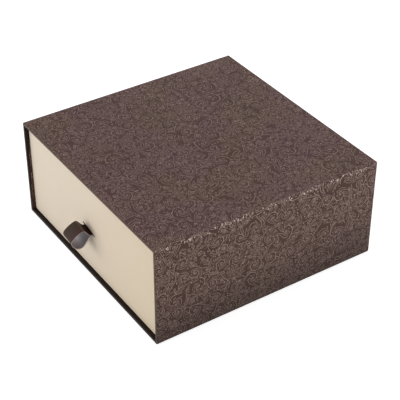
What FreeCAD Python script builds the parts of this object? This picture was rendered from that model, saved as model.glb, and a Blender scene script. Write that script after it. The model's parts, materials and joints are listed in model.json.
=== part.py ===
import FreeCAD, Part
import os
import re
import Sketcher
from FreeCAD import Vector

# Sliding drawer gift box: a square slipcase sleeve, open at the front, and a tray-shaped drawer that
# pulls out towards -Y by a ribbon loop. Both are stiff greyboard shells covered with paper.
# X runs across the mouth, Y into the depth, Z up. The origin is the middle of the sleeve's underside.

doc = FreeCAD.newDocument("GiftBox")
sizes = doc.addObject("Spreadsheet::Sheet", "Sizes")

# Driving dimensions, in millimetres and degrees.
DRIVING = (
    ("box_width", "200", "outside of the sleeve, across the mouth"),
    ("box_depth", "200", "outside of the sleeve, mouth to back"),
    ("box_height", "86.6", "outside of the sleeve, table to top"),
    ("board", "2", "greyboard thickness"),
    ("paper", "0.12", "cover paper and lining paper thickness"),
    ("tape", "0.1", "stay tape thickness, and the glue film beside it under the cover paper"),
    ("sleeve_rounding", "0.9", "outside radius of the sleeve's long edges"),
    ("drawer_rounding", "0.6", "outside radius of the drawer's upright edges"),
    ("turn_in", "15", "cover paper turned in past the mouth or the rim"),
    ("flap", "15", "cover paper folded on to the back and the underside"),
    ("sheet_inset", "2", "the back sheet stops this far inside the back's edges"),
    ("tape_leg", "11", "each leg of a folded stay tape"),
    ("side_gap", "0.5", "running gap at each side of the drawer"),
    ("top_gap", "0.9", "running gap over the drawer's rim"),
    ("stop_gap", "0.3", "gap behind the closed drawer"),
    ("recess", "3.3", "the closed drawer's face stands this far inside the mouth"),
    ("slot_across", "-3.3", "middle of the ribbon slot, from the middle of the box"),
    ("slot_up", "39.3", "middle of the ribbon slot, above the table"),
    ("slot_length", "18.4", "length of the ribbon slot"),
    ("slot_opening", "2.4", "height of the ribbon slot"),
    ("slot_slant", "11.5", "degrees that the slot and its ribbon run down towards +X"),
    ("ribbon_width", "12.7", "width of the ribbon"),
    ("ribbon_thickness", "0.4", "thickness of the ribbon"),
    ("ribbon_parting", "0.1", "gap between the ribbon's two runs in the slot"),
    ("ribbon_leg", "22", "glued end of the ribbon, from the slot"),
    ("loop_reach", "18.4", "the loop stands this far out of the drawer's face"),
    ("loop_rise", "7.2", "top of the loop, above the slot"),
    ("loop_drop", "11", "lowest point of the loop, below the slot"),
    ("anchor_border", "4", "glued border of the card over the ribbon's ends"),
    ("anchor_clearance", "1", "hollow of that card, beyond the ribbon's ends and edges"),
    ("glue_line", "0.02", "clearance of the ribbon's ends from the paper on both sides"),
)

# Values that follow from them.
DERIVED = (
    ("half_width", "=box_width / 2", "side face of the sleeve"),
    ("mouth", "=-box_depth / 2", "front face of the sleeve"),
    ("back_face", "=box_depth / 2", "back face of the sleeve"),
    ("skin", "=paper + tape", "cover paper and glue film outside a board"),
    ("double_skin", "=2 * paper + tape", "the same where a second sheet covers the flaps"),
    ("wall", "=skin + board + paper", "whole thickness of a covered and lined wall"),
    ("cavity_half", "=half_width - wall", "inside face of a side wall"),
    ("cavity_floor", "=double_skin + board + paper", "top of the sleeve's floor lining"),
    ("cavity_top", "=box_height - wall", "underside of the sleeve's top lining"),
    ("cavity_back", "=back_face - double_skin - board - paper", "front of the sleeve's back lining"),
    ("floor_board_top", "=double_skin + board", "top of the sleeve's bottom board"),
    ("top_board_low", "=box_height - skin - board", "underside of the sleeve's top board"),
    ("board_mouth", "=mouth + skin", "front edge of the sleeve's boards"),
    ("board_back", "=back_face - double_skin", "back edge of the sleeve's boards"),
    ("lining_start", "=mouth + turn_in", "the linings start where the turned-in cover ends"),
    ("drawer_half", "=cavity_half - side_gap", "side face of the drawer"),
    ("drawer_face", "=mouth + recess", "front face of the drawer"),
    ("drawer_back", "=cavity_back - stop_gap", "back face of the drawer"),
    ("drawer_rim", "=cavity_top - top_gap", "top of the drawer's walls"),
    ("tray_floor", "=cavity_floor + skin", "underside of the drawer's bottom board"),
    ("tray_half", "=drawer_half - skin", "outer face of the drawer's side boards"),
    ("tray_front", "=drawer_face + skin", "outer face of the drawer's front board"),
    ("tray_back", "=drawer_back - skin", "outer face of the drawer's back board"),
    ("tray_top", "=drawer_rim - skin", "top of the drawer's boards"),
    ("inner_half", "=drawer_half - wall", "inside face of a drawer side"),
    ("inner_front", "=drawer_face + wall", "inside face of the drawer's front"),
    ("inner_back", "=drawer_back - wall", "inside face of the drawer's back"),
    ("inner_floor", "=cavity_floor + wall", "top of the drawer's floor lining"),
    ("lining_top", "=drawer_rim - turn_in", "the wall lining ends at the turned-in cover"),
    ("run_level", "=ribbon_parting / 2 + ribbon_thickness", "outer face of a run, from the slot's middle"),
    ("ribbon_bend", "=slot_opening / 2 - run_level", "the bend's centre is level with the slot's edge"),
    (
        "hollow_half_width",
        "=ribbon_width / 2 * cos(slot_slant) + ribbon_leg * sin(slot_slant) + anchor_clearance",
        "half the width of the card's hollow, round the slanting ribbon",
    ),
    (
        "hollow_half_height",
        "=ribbon_leg * cos(slot_slant) + ribbon_width / 2 * sin(slot_slant) + anchor_clearance",
        "half the height of the card's hollow",
    ),
    ("anchor_relief", "=ribbon_thickness + 2 * glue_line", "depth of the card's hollow"),
)

ROWS = DRIVING + DERIVED
for row, (alias, content, note) in enumerate(ROWS, start=1):
    sizes.set(f"A{row}", alias)
    sizes.set(f"B{row}", content)
    sizes.set(f"C{row}", note)
    sizes.setAlias(f"B{row}", alias)
ALIASES = [alias for alias, content, note in ROWS]
doc.recompute()


def bound(text):
    """An expression on the sheet's values, from one written with their plain names."""
    return re.sub(r"[a-z]\w*", lambda name: f"Sizes.{name[0]}" if name[0] in ALIASES else name[0], text)


def size(alias):
    return float(getattr(sizes, alias))


# --- Sketches and features ---------------------------------------------------------------------------


def sketch_on(body, name, role, level):
    """A sketch on one of the body's own origin planes, raised to a level along X, Y or Z."""
    plane = [feature for feature in body.Origin.OriginFeatures if feature.Role == role][0]
    sketch = body.newObject("Sketcher::SketchObject", name)
    sketch.AttachmentSupport = (plane, [""])
    sketch.MapMode = "FlatFace"
    # The XZ plane's own normal is -Y.
    sign = "-1" if role == "XZ_Plane" else "1"
    sketch.setExpression("AttachmentOffset.Base.z", bound(f"{sign} * ( {level} )"))
    return sketch


def rectangle(sketch, left, right, low, high):
    """A rectangle whose sides are held by expressions, measured from the sketch's origin."""
    first = sketch.GeometryCount
    corners = (Vector(-1, -1, 0), Vector(1, -1, 0), Vector(1, 1, 0), Vector(-1, 1, 0))
    for side in range(4):
        sketch.addGeometry(Part.LineSegment(corners[side], corners[(side + 1) % 4]))
    for side in range(4):
        following = first + (side + 1) % 4
        sketch.addConstraint(Sketcher.Constraint("Coincident", first + side, 2, following, 1))
    for side in (0, 2):
        sketch.addConstraint(Sketcher.Constraint("Horizontal", first + side))
    for side in (1, 3):
        sketch.addConstraint(Sketcher.Constraint("Vertical", first + side))
    held = (
        ("DistanceX", first, left, -1),
        ("DistanceY", first, low, -1),
        ("DistanceX", first + 2, right, 1),
        ("DistanceY", first + 2, high, 1),
    )
    for kind, line, place, start in held:
        constraint = sketch.addConstraint(Sketcher.Constraint(kind, -1, 1, line, 1, start))
        sketch.setExpression(f"Constraints[{constraint}]", bound(place))


def pad(body, sketch, thickness):
    """Raises the sketch towards +X, +Y or +Z."""
    feature = body.newObject("PartDesign::Pad", sketch.Name + "_pad")
    feature.Profile = sketch
    feature.Reversed = "XZ" in sketch.AttachmentSupport[0][0].Role
    feature.setExpression("Length", bound(thickness))
    sketch.Visibility = False
    doc.recompute()
    return feature


def pocket(body, sketch, depth):
    """Cuts the sketch's outline towards +X, +Y or +Z, and makes sure that something was cut."""
    before = body.Shape.Volume
    feature = body.newObject("PartDesign::Pocket", sketch.Name + "_cut")
    feature.Profile = sketch
    feature.Reversed = "XZ" not in sketch.AttachmentSupport[0][0].Role
    feature.setExpression("Length", bound(depth))
    sketch.Visibility = False
    doc.recompute()
    if not body.Shape.Volume < before:
        raise RuntimeError(f"{feature.Name} in {body.Label} cut nothing")
    return feature


def round_edges(body, name, direction, places, radius):
    """Rounds the body's edges that run along a direction and pass through any of the places."""
    names = []
    for number, edge in enumerate(body.Shape.Edges, start=1):
        straight = edge.Curve.TypeId == "Part::GeomLine"
        if not straight or edge.Curve.Direction.cross(direction).Length > 1e-6:
            continue
        middle = edge.CenterOfMass
        across = [place - middle for place in places]
        if min(offset.cross(direction).Length for offset in across) < 1e-4:
            names.append(f"Edge{number}")
    if len(names) < len(places):
        raise RuntimeError(f"{name}: {len(names)} edges found for {len(places)} places")
    base = body.Tip
    feature = body.newObject("PartDesign::Fillet", name)
    feature.Base = (base, names)
    feature.setExpression("Radius", bound(radius))
    doc.recompute()
    return feature


def new_body(label):
    return doc.addObject("PartDesign::Body", label)


def flat_piece(label, role, left, right, low, high, level, thickness):
    """A rectangle of board or paper, lying in one of the three planes."""
    body = new_body(label)
    outline = sketch_on(body, f"{label}_outline", role, level)
    rectangle(outline, left, right, low, high)
    pad(body, outline, thickness)
    return body


def box_corners(half, low, high):
    """The four corner places of an outline that is as wide to the left as to the right."""
    return [(side * half, level) for side in (-1, 1) for level in (low, high)]


ALONG_DEPTH = Vector(0, 1, 0)
UPRIGHT = Vector(0, 0, 1)


def long_edges(half, low, high):
    return [Vector(x, 0, z) for x, z in box_corners(half, low, high)]


def upright_edges(half, front, back):
    return [Vector(x, y, 0) for x, y in box_corners(half, front, back)]


# --- Sleeve: five greyboard panels -----------------------------------------------------------------


def sleeve_boards():
    """Top and bottom run the full width; the sides stand between them, and the back closes the end."""
    plan = ("-half_width + skin", "half_width - skin", "board_mouth", "board_back")
    top = flat_piece("sleeve_top_board", "XY_Plane", *plan, "top_board_low", "board")
    bottom = flat_piece("sleeve_bottom_board", "XY_Plane", *plan, "double_skin", "board")
    half = size("half_width") - size("skin")
    for body, level in ((top, size("top_board_low") + size("board")), (bottom, size("double_skin"))):
        edges = [Vector(side * half, 0, level) for side in (-1, 1)]
        round_edges(body, f"{body.Label}_edges", ALONG_DEPTH, edges, "sleeve_rounding - skin")
    side = ("board_mouth", "board_back", "floor_board_top", "top_board_low")
    flat_piece("sleeve_left_board", "YZ_Plane", *side, "-half_width + skin", "board")
    flat_piece("sleeve_right_board", "YZ_Plane", *side, "cavity_half + paper", "board")
    flat_piece(
        "sleeve_back_board",
        "XZ_Plane",
        "-cavity_half - paper",
        "cavity_half + paper",
        "floor_board_top",
        "top_board_low",
        "cavity_back + paper",
        "board",
    )


def sleeve_stay_tapes():
    """Gummed paper angles that hold the four long corners, under the cover paper."""
    length = "board_back - board_mouth"
    levels = {"top": ("box_height - paper", -1), "bottom": ("2 * paper", 1)}
    for level_name, (level, inwards) in levels.items():
        for side_name, side in (("left", -1), ("right", 1)):
            label = f"sleeve_{level_name}_{side_name}_stay_tape"
            body = new_body(label)
            outline = sketch_on(body, f"{label}_outline", "XZ_Plane", "board_mouth")
            face = f"{side} * ( half_width - paper )"
            rectangle(outline, face, f"{face} - {side} * tape_leg", level, f"{level} + {inwards} * tape_leg")
            pad(body, outline, length)
            inside = sketch_on(body, f"{label}_inside", "XZ_Plane", "board_mouth")
            rectangle(
                inside,
                f"{face} - {side} * tape",
                f"{face} - {side} * tape_leg",
                f"{level} + {inwards} * tape",
                f"{level} + {inwards} * tape_leg",
            )
            pocket(body, inside, length)
            x = side * (size("half_width") - size("paper"))
            high = size("box_height") - size("paper")
            z = high if level_name == "top" else 2 * size("paper")
            inner = Vector(x - side * size("tape"), 0, z + inwards * size("tape"))
            round_edges(body, f"{label}_inner", ALONG_DEPTH, [inner], "sleeve_rounding - skin")
            round_edges(body, f"{label}_outer", ALONG_DEPTH, [Vector(x, 0, z)], "sleeve_rounding - paper")


# --- Sleeve: cover papers ----------------------------------------------------------------------------


def sleeve_wrap():
    """One sheet round the sides and top: turned in at the mouth, folded over the back and the base."""
    body = new_body("sleeve_wrap")
    outside = ("-half_width", "half_width", "paper", "box_height")

    girth = sketch_on(body, "wrap_girth", "XZ_Plane", "mouth")
    rectangle(girth, *outside)
    rectangle(girth, "-half_width + paper", "half_width - paper", "2 * paper", "box_height - paper")
    pad(body, girth, "box_depth - paper")

    face = sketch_on(body, "wrap_mouth_face", "XZ_Plane", "mouth")
    rectangle(face, *outside)
    rectangle(face, "-cavity_half", "cavity_half", "cavity_floor", "cavity_top")
    pad(body, face, "paper")

    turned = sketch_on(body, "wrap_turn_in", "XZ_Plane", "mouth")
    rectangle(
        turned,
        "-cavity_half - paper",
        "cavity_half + paper",
        "cavity_floor - paper",
        "cavity_top + paper",
    )
    rectangle(turned, "-cavity_half", "cavity_half", "cavity_floor", "cavity_top")
    pad(body, turned, "turn_in")

    back = sketch_on(body, "wrap_back_flaps", "XZ_Plane", "back_face - 2 * paper")
    rectangle(back, *outside)
    rectangle(back, "-half_width + flap", "half_width - flap", "flap", "box_height - flap")
    pad(body, back, "paper")

    # The base sheet takes the place of the wrap at the mouth's lower edge and between the flaps.
    sill = sketch_on(body, "wrap_sill", "XY_Plane", "0")
    rectangle(sill, "-cavity_half", "cavity_half", "mouth", "lining_start")
    pocket(body, sill, "cavity_floor")
    under = sketch_on(body, "wrap_under", "XY_Plane", "0")
    rectangle(under, "-half_width + flap", "half_width - flap", "mouth", "back_face - flap")
    pocket(body, under, "2 * paper")

    inner_half = size("half_width") - size("paper")
    inner = long_edges(inner_half, 2 * size("paper"), size("box_height") - size("paper"))
    round_edges(body, "wrap_inner_edges", ALONG_DEPTH, inner, "sleeve_rounding - paper")
    outer = long_edges(size("half_width"), size("paper"), size("box_height"))
    round_edges(body, "wrap_outer_edges", ALONG_DEPTH, outer, "sleeve_rounding")


def sleeve_base_sheet():
    """The sheet under the box, folded up over the sill of the mouth and turned in on the floor."""
    body = new_body("sleeve_base_sheet")
    across = ("-cavity_half", "cavity_half")
    under = sketch_on(body, "base_under", "XY_Plane", "0")
    rectangle(under, *across, "mouth", "back_face - sheet_inset")
    pad(body, under, "paper")
    sill = sketch_on(body, "base_sill", "XZ_Plane", "mouth")
    rectangle(sill, *across, "0", "cavity_floor")
    pad(body, sill, "paper")
    turned = sketch_on(body, "base_turn_in", "XY_Plane", "floor_board_top")
    rectangle(turned, *across, "mouth", "lining_start")
    pad(body, turned, "paper")


def sleeve_back_sheet():
    """The sheet that closes the back, over the wrap's folded flaps."""
    flat_piece(
        "sleeve_back_sheet",
        "XZ_Plane",
        "-half_width + sheet_inset",
        "half_width - sheet_inset",
        "sheet_inset",
        "box_height - sheet_inset",
        "back_face - paper",
        "paper",
    )


def sleeve_linings():
    """Lining sheets on the five inner faces, from the turned-in cover to the back."""
    plan = ("-cavity_half - paper", "cavity_half + paper", "lining_start", "cavity_back + paper")
    flat_piece("sleeve_top_lining", "XY_Plane", *plan, "cavity_top", "paper")
    flat_piece("sleeve_floor_lining", "XY_Plane", *plan, "floor_board_top", "paper")
    side = ("lining_start", "cavity_back + paper", "cavity_floor", "cavity_top")
    flat_piece("sleeve_left_lining", "YZ_Plane", *side, "-cavity_half - paper", "paper")
    flat_piece("sleeve_right_lining", "YZ_Plane", *side, "cavity_half", "paper")
    flat_piece(
        "sleeve_back_lining",
        "XZ_Plane",
        "-cavity_half",
        "cavity_half",
        "cavity_floor",
        "cavity_top",
        "cavity_back",
        "paper",
    )


# --- Drawer: five greyboard panels and their stay tapes ----------------------------------------------


def ribbon_slot(body, name, level, depth):
    """The slanting slot through the middle of the drawer's front."""
    slot = sketch_on(body, name, "XZ_Plane", level)
    slot.setExpression("AttachmentOffset.Base.x", bound("slot_across"))
    slot.setExpression("AttachmentOffset.Base.y", bound("slot_up"))
    slot.setExpression("AttachmentOffset.Rotation.Angle", bound("-slot_slant"))
    rectangle(slot, "-slot_length / 2", "slot_length / 2", "-slot_opening / 2", "slot_opening / 2")
    pocket(body, slot, depth)


def drawer_boards():
    """The front and back stand on the bottom and run the full width; the sides fit between them."""
    bottom = flat_piece(
        "drawer_bottom_board",
        "XY_Plane",
        "-tray_half",
        "tray_half",
        "tray_front",
        "tray_back",
        "tray_floor",
        "board",
    )
    across = ("-tray_half", "tray_half", "tray_floor + board", "tray_top")
    front = flat_piece("drawer_front_board", "XZ_Plane", *across, "tray_front", "board")
    back = flat_piece("drawer_back_board", "XZ_Plane", *across, "tray_back - board", "board")
    ribbon_slot(front, "front_board_slot", "tray_front", "board")
    along = ("tray_front + board", "tray_back - board", "tray_floor + board", "tray_top")
    flat_piece("drawer_left_board", "YZ_Plane", *along, "-tray_half", "board")
    flat_piece("drawer_right_board", "YZ_Plane", *along, "tray_half - board", "board")

    corners = upright_edges(size("tray_half"), size("tray_front"), size("tray_back"))
    front_corners = [corner for corner in corners if corner.y < 0]
    back_corners = [corner for corner in corners if corner.y > 0]
    for body, places in ((bottom, corners), (front, front_corners), (back, back_corners)):
        round_edges(body, f"{body.Label}_edges", UPRIGHT, places, "drawer_rounding - skin")


def drawer_stay_tapes():
    """Gummed paper angles round the four upright corners, under the cover paper."""
    height = "tray_top - tray_floor"
    ends = {"front": ("drawer_face + paper", 1), "back": ("drawer_back - paper", -1)}
    for end_name, (end, inwards) in ends.items():
        for side_name, side in (("left", -1), ("right", 1)):
            label = f"drawer_{end_name}_{side_name}_stay_tape"
            body = new_body(label)
            outline = sketch_on(body, f"{label}_outline", "XY_Plane", "tray_floor")
            face = f"{side} * ( drawer_half - paper )"
            rectangle(outline, face, f"{face} - {side} * tape_leg", end, f"{end} + {inwards} * tape_leg")
            pad(body, outline, height)
            inside = sketch_on(body, f"{label}_inside", "XY_Plane", "tray_floor")
            rectangle(
                inside,
                f"{face} - {side} * tape",
                f"{face} - {side} * tape_leg",
                f"{end} + {inwards} * tape",
                f"{end} + {inwards} * tape_leg",
            )
            pocket(body, inside, height)
            x = side * (size("drawer_half") - size("paper"))
            face_y = size("drawer_face") + size("paper")
            y = face_y if end_name == "front" else size("drawer_back") - size("paper")
            inner = Vector(x - side * size("tape"), y + inwards * size("tape"), 0)
            round_edges(body, f"{label}_inner", UPRIGHT, [inner], "drawer_rounding - skin")
            round_edges(body, f"{label}_outer", UPRIGHT, [Vector(x, y, 0)], "drawer_rounding - paper")


# --- Drawer: cover paper and linings -----------------------------------------------------------------


def drawer_wrap():
    """One sheet under the drawer and up its four walls, turned over the rim and down inside."""
    body = new_body("drawer_wrap")
    outside = ("-drawer_half", "drawer_half", "drawer_face", "drawer_back")
    under = sketch_on(body, "tray_under", "XY_Plane", "cavity_floor")
    rectangle(under, *outside)
    pad(body, under, "paper")

    walls = sketch_on(body, "tray_walls", "XY_Plane", "cavity_floor")
    rectangle(walls, *outside)
    rectangle(
        walls,
        "-drawer_half + paper",
        "drawer_half - paper",
        "drawer_face + paper",
        "drawer_back - paper",
    )
    pad(body, walls, "drawer_rim - cavity_floor")

    rim = sketch_on(body, "tray_rim", "XY_Plane", "drawer_rim - paper")
    rectangle(rim, *outside)
    rectangle(rim, "-inner_half", "inner_half", "inner_front", "inner_back")
    pad(body, rim, "paper")

    turned = sketch_on(body, "tray_turn_in", "XY_Plane", "lining_top")
    rectangle(
        turned,
        "-inner_half - paper",
        "inner_half + paper",
        "inner_front - paper",
        "inner_back + paper",
    )
    rectangle(turned, "-inner_half", "inner_half", "inner_front", "inner_back")
    pad(body, turned, "turn_in")

    ribbon_slot(body, "wrap_slot", "drawer_face", "paper")

    paper = size("paper")
    front, back = size("drawer_face"), size("drawer_back")
    inner = upright_edges(size("drawer_half") - paper, front + paper, back - paper)
    round_edges(body, "tray_inner_edges", UPRIGHT, inner, "drawer_rounding - paper")
    outer = upright_edges(size("drawer_half"), front, back)
    round_edges(body, "tray_outer_edges", UPRIGHT, outer, "drawer_rounding")


def drawer_linings():
    """A floor sheet, and one strip round the four walls that ends under the turned-in cover."""
    flat_piece(
        "drawer_floor_lining",
        "XY_Plane",
        "-inner_half - paper",
        "inner_half + paper",
        "inner_front - paper",
        "inner_back + paper",
        "inner_floor - paper",
        "paper",
    )
    body = new_body("drawer_wall_lining")
    strip = sketch_on(body, "lining_strip", "XY_Plane", "inner_floor")
    rectangle(
        strip,
        "-inner_half - paper",
        "inner_half + paper",
        "inner_front - paper",
        "inner_back + paper",
    )
    rectangle(strip, "-inner_half", "inner_half", "inner_front", "inner_back")
    pad(body, strip, "lining_top - inner_floor")
    ribbon_slot(body, "lining_slot", "inner_front - paper", "paper")


# --- Ribbon pull -------------------------------------------------------------------------------------

# The loop's outline from the slot round and back to it: how far out as a share of the loop's reach,
# and how high as a share of its rise, or of its drop where that is negative.
LOOP_OUTLINE = (
    (0.23, 0.42),
    (0.45, 1.0),
    (0.57, 0.95),
    (0.77, 0.6),
    (0.94, 0.2),
    (1.0, -0.12),
    (0.97, -0.35),
    (0.86, -0.67),
    (0.66, -0.96),
    (0.48, -1.0),
    (0.335, -0.75),
    (0.225, -0.4),
)


def ribbon_path():
    """The ribbon's outer face in section: out is -Y from the drawer's face, up is Z from the slot."""
    reach, rise, drop = size("loop_reach"), size("loop_rise"), size("loop_drop")
    bend, leg = size("ribbon_bend"), size("ribbon_leg")
    behind = size("wall") + size("glue_line")

    def place(out, up):
        return Vector(0, -out, up)

    def run_in_slot(side):
        """The glued end, its bend and its run through the slot, above or below the middle."""
        level = side * size("run_level")
        bend_end = bend - behind
        quarter = bend * 0.5**0.5
        leg_line = Part.LineSegment(place(-behind, side * leg), place(-behind, level + side * bend))
        round_line = Part.Arc(
            place(-behind, level + side * bend),
            place(bend_end - quarter, level + side * (bend - quarter)),
            place(bend_end, level),
        )
        slot_line = Part.LineSegment(place(bend_end, level), place(0, level))
        return [leg_line, round_line, slot_line]

    points = [place(0, size("run_level"))]
    points += [place(out * reach, up * (rise if up > 0 else drop)) for out, up in LOOP_OUTLINE]
    points.append(place(0, -size("run_level")))
    loop = Part.BSplineCurve()
    loop.interpolate(points, InitialTangent=place(1, 0), FinalTangent=place(-1, 0))
    edges = [line.toShape() for line in run_in_slot(1)]
    edges.append(loop.toShape())
    edges += [line.toShape() for line in reversed(run_in_slot(-1))]
    return Part.Wire(Part.__sortEdges__(edges))


def ribbon_pull():
    """A satin ribbon loop, doubled through the slot, its two ends glued up and down behind it."""
    path = doc.addObject("Part::Feature", "ribbon_path")
    path.Shape = ribbon_path()
    cloth = doc.addObject("Part::Extrusion", "ribbon_cloth")
    cloth.Base = path
    cloth.DirMode = "Custom"
    cloth.Dir = Vector(1, 0, 0)
    cloth.Symmetric = True
    cloth.Solid = False
    cloth.setExpression("LengthFwd", bound("ribbon_width"))
    ribbon = doc.addObject("Part::Offset", "ribbon_pull")
    ribbon.Source = cloth
    ribbon.Fill = True
    ribbon.setExpression("Value", bound("ribbon_thickness"))
    ribbon.setExpression("Placement.Base.x", bound("slot_across"))
    ribbon.setExpression("Placement.Base.y", bound("drawer_face"))
    ribbon.setExpression("Placement.Base.z", bound("slot_up"))
    ribbon.setExpression("Placement.Rotation.Angle", bound("slot_slant"))
    ribbon.Placement.Rotation.Axis = Vector(0, 1, 0)
    doc.recompute()


def ribbon_anchor():
    """A card glued over the ribbon's two ends, hollowed to clear them."""
    hollow = (
        "slot_across - hollow_half_width",
        "slot_across + hollow_half_width",
        "slot_up - hollow_half_height",
        "slot_up + hollow_half_height",
    )
    left, right, low, high = hollow
    card = flat_piece(
        "ribbon_anchor_card",
        "XZ_Plane",
        f"{left} - anchor_border",
        f"{right} + anchor_border",
        f"{low} - anchor_border",
        f"{high} + anchor_border",
        "inner_front",
        "anchor_relief + 2 * paper",
    )
    relief = sketch_on(card, "anchor_hollow", "XZ_Plane", "inner_front")
    rectangle(relief, *hollow)
    pocket(card, relief, "anchor_relief")


# --- Make every piece, check it and write it ---------------------------------------------------------

sleeve_boards()
sleeve_stay_tapes()
sleeve_wrap()
sleeve_base_sheet()
sleeve_back_sheet()
sleeve_linings()
drawer_boards()
drawer_stay_tapes()
drawer_wrap()
drawer_linings()
ribbon_pull()
ribbon_anchor()
doc.recompute()

pieces = [item for item in doc.Objects if item.TypeId == "PartDesign::Body"]
pieces.append(doc.getObject("ribbon_pull"))

for item in doc.Objects:
    if "Invalid" in item.State or "Error" in item.State:
        raise RuntimeError(f"{item.Label} failed to build: {item.State}")
for piece in pieces:
    if piece.Shape.isNull() or not piece.Shape.isValid() or len(piece.Shape.Solids) != 1:
        raise RuntimeError(f"{piece.Label} isn't one valid solid")

os.makedirs("parts", exist_ok=True)
for piece in pieces:
    piece.Shape.exportStep(f"parts/{piece.Label}.step")
    box = piece.Shape.BoundBox
    print(
        f"{piece.Label}: x {box.XMin:.2f} to {box.XMax:.2f}, y {box.YMin:.2f} to {box.YMax:.2f},"
        f" z {box.ZMin:.2f} to {box.ZMax:.2f}, {piece.Shape.Volume:.1f} mm3"
    )
print(len(pieces), "pieces")
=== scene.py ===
import json
import math

import bmesh
import bpy
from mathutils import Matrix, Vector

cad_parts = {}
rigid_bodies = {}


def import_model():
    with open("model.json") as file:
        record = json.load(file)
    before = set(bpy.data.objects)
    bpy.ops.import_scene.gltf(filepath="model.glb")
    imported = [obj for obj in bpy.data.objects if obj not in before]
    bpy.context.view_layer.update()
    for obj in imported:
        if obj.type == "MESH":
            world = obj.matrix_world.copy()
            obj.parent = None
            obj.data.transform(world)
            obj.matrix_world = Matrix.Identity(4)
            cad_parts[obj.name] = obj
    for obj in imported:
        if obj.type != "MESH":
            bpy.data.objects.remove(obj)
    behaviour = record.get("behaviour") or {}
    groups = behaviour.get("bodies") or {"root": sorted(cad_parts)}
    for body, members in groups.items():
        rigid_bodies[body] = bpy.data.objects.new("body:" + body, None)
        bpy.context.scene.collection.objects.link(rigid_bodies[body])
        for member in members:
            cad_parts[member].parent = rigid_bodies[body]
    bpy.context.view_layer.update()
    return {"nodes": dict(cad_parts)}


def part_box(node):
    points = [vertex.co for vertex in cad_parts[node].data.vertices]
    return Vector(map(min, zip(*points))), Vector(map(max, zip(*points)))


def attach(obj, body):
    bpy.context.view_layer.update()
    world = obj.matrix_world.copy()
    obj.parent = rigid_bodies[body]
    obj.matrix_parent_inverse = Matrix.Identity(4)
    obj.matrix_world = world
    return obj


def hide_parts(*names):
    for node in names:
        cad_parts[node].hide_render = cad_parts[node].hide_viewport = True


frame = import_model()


# --- Sleeve boards -----------------------------------------------------------------------------------
# Five pieces of 2 mm greyboard, butted edge to edge. Greyboard is pressed from waste paper: grey-brown,
# mottled, with dark and pale fibres, and its layers show on a cut edge.

MM = 0.001


class Shade:
    """One socket of a material. Arithmetic on it adds Math nodes, and node() adds any other node."""

    def __init__(self, socket):
        self.socket = socket

    def node(self, kind, settings=None, sockets=None, output=0):
        """Adds a node, with its settings first, then the values or links of its sockets."""
        tree = self.socket.id_data
        made = tree.nodes.new("ShaderNode" + kind)
        for name, value in (settings or {}).items():
            setattr(made, name, value)
        for name, value in (sockets or {}).items():
            if isinstance(value, Shade):
                tree.links.new(value.socket, made.inputs[name])
            else:
                made.inputs[name].default_value = value
        return Shade(made.outputs[output])

    def other(self, output):
        """Another output of the same node."""
        return Shade(self.socket.node.outputs[output])

    def math(self, operation, second=0.0):
        return self.node("Math", {"operation": operation}, {0: self, 1: second})

    def __add__(self, second):
        return self.math("ADD", second)

    def __sub__(self, second):
        return self.math("SUBTRACT", second)

    def __rsub__(self, first):
        return self.node("Math", {"operation": "SUBTRACT"}, {0: first, 1: self})

    def __mul__(self, second):
        return self.math("MULTIPLY", second)

    def __truediv__(self, second):
        return self.math("DIVIDE", second)

    __radd__ = __add__
    __rmul__ = __mul__

    def shifted(self, by):
        """This vector with another added."""
        return self.node("VectorMath", {"operation": "ADD"}, {0: self, 1: by})

    def from_point(self, point):
        """The vector from a point to this one."""
        return self.node("VectorMath", {"operation": "SUBTRACT"}, {0: self, 1: point})

    def stretched(self, by):
        """This vector with each of its parts multiplied."""
        return self.node("VectorMath", {"operation": "MULTIPLY"}, {0: self, 1: by})

    def length(self):
        return self.node("VectorMath", {"operation": "LENGTH"}, {0: self}, "Value")

    def parts(self):
        """The first part of this vector, whose node's other outputs are Y and Z."""
        return self.node("SeparateXYZ", None, {0: self})

    def noise(self, grain, detail, output="Fac"):
        """Soft random patches, grain across, with finer ones inside them as detail rises."""
        sockets = {"Vector": self, "Scale": 1 / grain, "Detail": detail}
        return self.node("TexNoise", None, sockets, output)

    def above(self, limit, soft):
        """1 where this is above the limit and 0 below it, with a soft edge."""
        sockets = {"Value": self, "From Min": limit - soft, "From Max": limit + soft}
        return self.node("MapRange", {"interpolation_type": "SMOOTHSTEP"}, sockets)

    def below(self, limit, soft):
        return 1 - self.above(limit, soft)

    def blend(self, low, high):
        """The colour that is low where this is 0 and high where it is 1."""
        return self.node("Mix", {"data_type": "RGBA"}, {0: self, 6: low, 7: high}, 2)

    def feeds(self, shader, name):
        self.socket.id_data.links.new(self.socket, shader.inputs[name])

    def embosses(self, shader, depth):
        """Uses this as a height for the shader's bump, depth being the height of 1 in metres."""
        sockets = {"Height": self, "Distance": depth}
        self.node("Bump", None, sockets, "Normal").feeds(shader, "Normal")


def colour(red, green, blue):
    """A paint-chart colour, 0 to 255 each, as the light values that a shader takes."""

    def light(value):
        share = value / 255
        return share / 12.92 if share <= 0.04045 else ((share + 0.055) / 1.055) ** 2.4

    return (light(red), light(green), light(blue), 1.0)


def new_finish(name, roughness, coordinates="Object"):
    """A material, its shader, and the place on the piece in millimetres."""
    material = bpy.data.materials.new(name)
    material.use_nodes = True
    shader = material.node_tree.nodes["Principled BSDF"]
    shader.inputs["Roughness"].default_value = roughness
    source = material.node_tree.nodes.new("ShaderNodeTexCoord")
    place = Shade(source.outputs[coordinates]).stretched((1 / MM,) * 3)
    return material, shader, place


def finish_nodes(material, *names):
    """Gives CAD pieces their finish."""
    for name in names:
        for slot in frame["nodes"][name].material_slots:
            slot.material = material


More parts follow.
